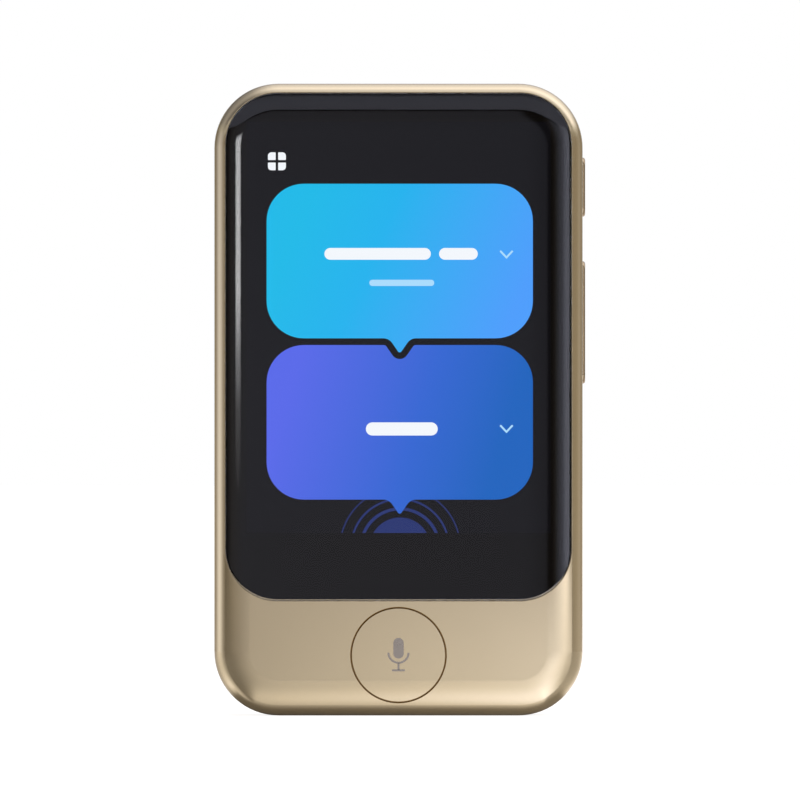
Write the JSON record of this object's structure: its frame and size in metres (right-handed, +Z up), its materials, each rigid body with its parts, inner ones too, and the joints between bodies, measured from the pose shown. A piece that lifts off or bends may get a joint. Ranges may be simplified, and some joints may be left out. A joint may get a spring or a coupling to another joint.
{
  "type": "handheld translator",
  "caption": "Pocket translator with a curved glass front, a round talk button, two side keys, a SIM tray and a USB-C port.",
  "frame": {"origin": "centre of the bottom edge that the device stands on", "axes": "+Z up along the height, front with screen and talk button towards -Y, +X to the right seen from the front"},
  "size_m": [0.0538, 0.0116, 0.0916],
  "materials": {
    "housing_gold": "satin",
    "key_gold": "satin",
    "black_glass": "gloss",
    "display_glass": "gloss",
    "black_plastic": "matte",
    "white_plastic": "matte",
    "clear_lens": "gloss",
    "rubber": "matte",
    "flex": "satin",
    "board": "satin",
    "cell_foil": "satin",
    "steel": "satin",
    "contact_brass": "gloss"
  },
  "bodies": {
    "housing": {"front_housing": "housing_gold", "rear_cover": "housing_gold", "cover_glass": "black_glass", "bezel_film": "black_plastic", "glass_adhesive": "black_plastic", "display_panel": "display_glass", "display_backlight": "white_plastic", "display_flex": "flex", "mid_plate": "steel", "plate_screws": "steel", "talk_button_ring": "rubber", "talk_switch": "black_plastic", "talk_dome": "steel", "power_key_dome": "steel", "volume_key_domes": "steel", "side_key_flex": "flex", "side_key_bracket": "steel", "main_board": "board", "sub_board": "board", "board_screws": "steel", "processor_shield": "steel", "radio_shield": "steel", "battery_cell": "cell_foil", "battery_adhesive": "white_plastic", "battery_circuit": "flex", "battery_lead": "flex", "battery_connector": "white_plastic", "board_link_flex": "flex", "usb_receptacle": "steel", "usb_tongue": "black_plastic", "lower_microphone": "steel", "upper_microphone": "steel", "microphone_boots": "rubber", "speakers": "black_plastic", "speaker_meshes": "steel", "sim_socket": "steel", "sim_ejector": "steel", "camera_module": "black_plastic", "camera_window": "black_glass", "camera_ring": "key_gold", "flash_pipe": "clear_lens", "flash_led": "white_plastic", "antenna_strip": "flex", "antenna_contacts": "contact_brass", "strap_bar": "steel"},
    "talk_button": {"talk_button": "housing_gold"},
    "power_key": {"power_key": "key_gold"},
    "volume_key": {"volume_key": "key_gold"},
    "sim_tray": {"sim_tray": "key_gold", "sim_card": "white_plastic"}
  },
  "joints": [
    {"name": "talk_press", "type": "slide", "parent": "housing", "child": "talk_button", "axis": [0, 1, 0], "range_m": [0, 0.00035], "stiffness_N_per_m": 150, "springref_m": -0.012, "deforming": ["talk_button_ring", "talk_dome"]},
    {"name": "power_press", "type": "slide", "parent": "housing", "child": "power_key", "axis": [-1, 0, 0], "range_m": [0, 0.00025], "stiffness_N_per_m": 40, "springref_m": -0.03, "deforming": ["power_key_dome"]},
    {"name": "volume_rock", "type": "hinge", "parent": "housing", "child": "volume_key", "pos_m": [0.0245, 0.00001, 0.057], "axis": [0, 1, 0], "range_deg": [-1.4, 1.4], "stiffness_Nm_per_rad": 0.003, "deforming": ["volume_key_domes"]},
    {"name": "sim_slide", "type": "slide", "parent": "housing", "child": "sim_tray", "axis": [-1, 0, 0], "range_m": [0, 0.016]}
  ]
}
